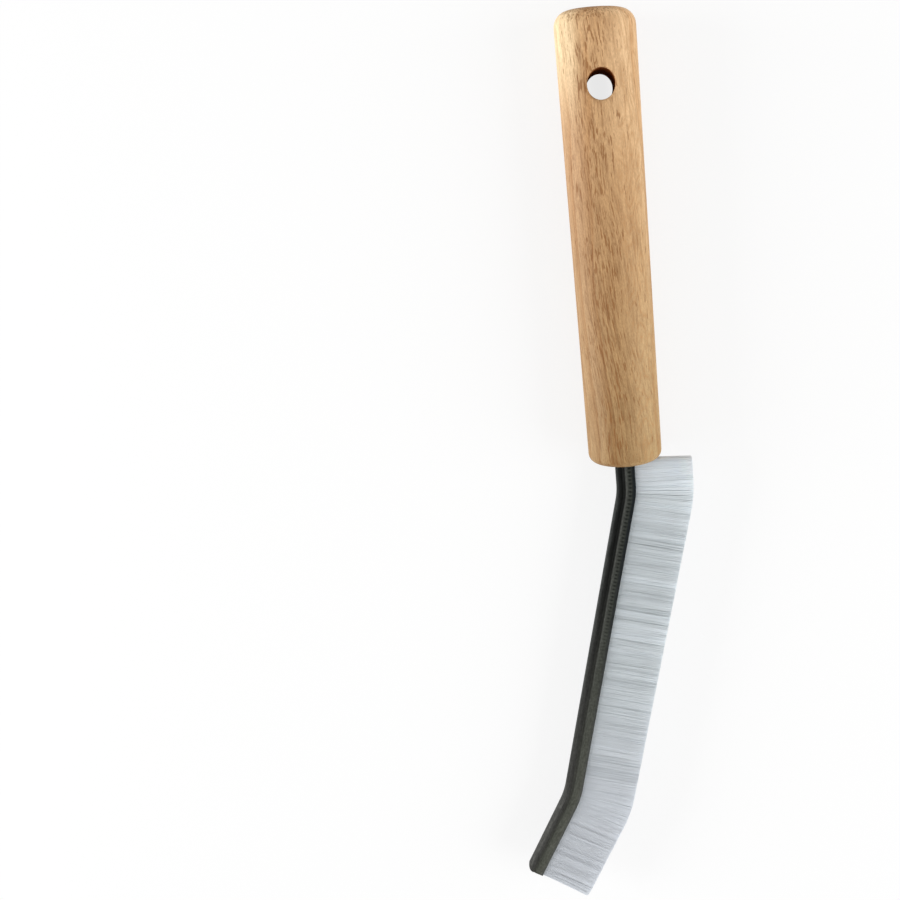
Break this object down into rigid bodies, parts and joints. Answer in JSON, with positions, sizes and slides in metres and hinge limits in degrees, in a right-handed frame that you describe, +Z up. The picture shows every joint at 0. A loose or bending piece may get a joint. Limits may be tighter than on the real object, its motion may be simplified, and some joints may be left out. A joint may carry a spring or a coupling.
{
  "type": "grout brush",
  "caption": "Hand brush for grout lines: a round wooden handle with a hanging hole, and a narrow twice-bent metal strip of pale nylon bristles along one edge.",
  "frame": {"origin": "on the table under the middle of the brush's box, as it lies on its side", "axes": "+Y along the handle towards its butt, +X the way the bristles point at the handle, +Z up, square to the plane of the bent strip"},
  "size_m": [0.0498, 0.2256, 0.018],
  "materials": {
    "wood": "sanded beech, thin clear wax",
    "adhesive": "cured resin",
    "steel": "dark oiled rolled strip",
    "wire": "drawn wire",
    "nylon": "translucent extruded filament"
  },
  "bodies": {
    "root": {"handle": "wood", "socket_adhesive": "adhesive", "strip_channel": "steel", "core_wire": "wire", "bristles_neck": "nylon", "bristles_upper": "nylon", "bristles_lower": "nylon", "bristles_tip": "nylon"}
  },
  "joints": []
}
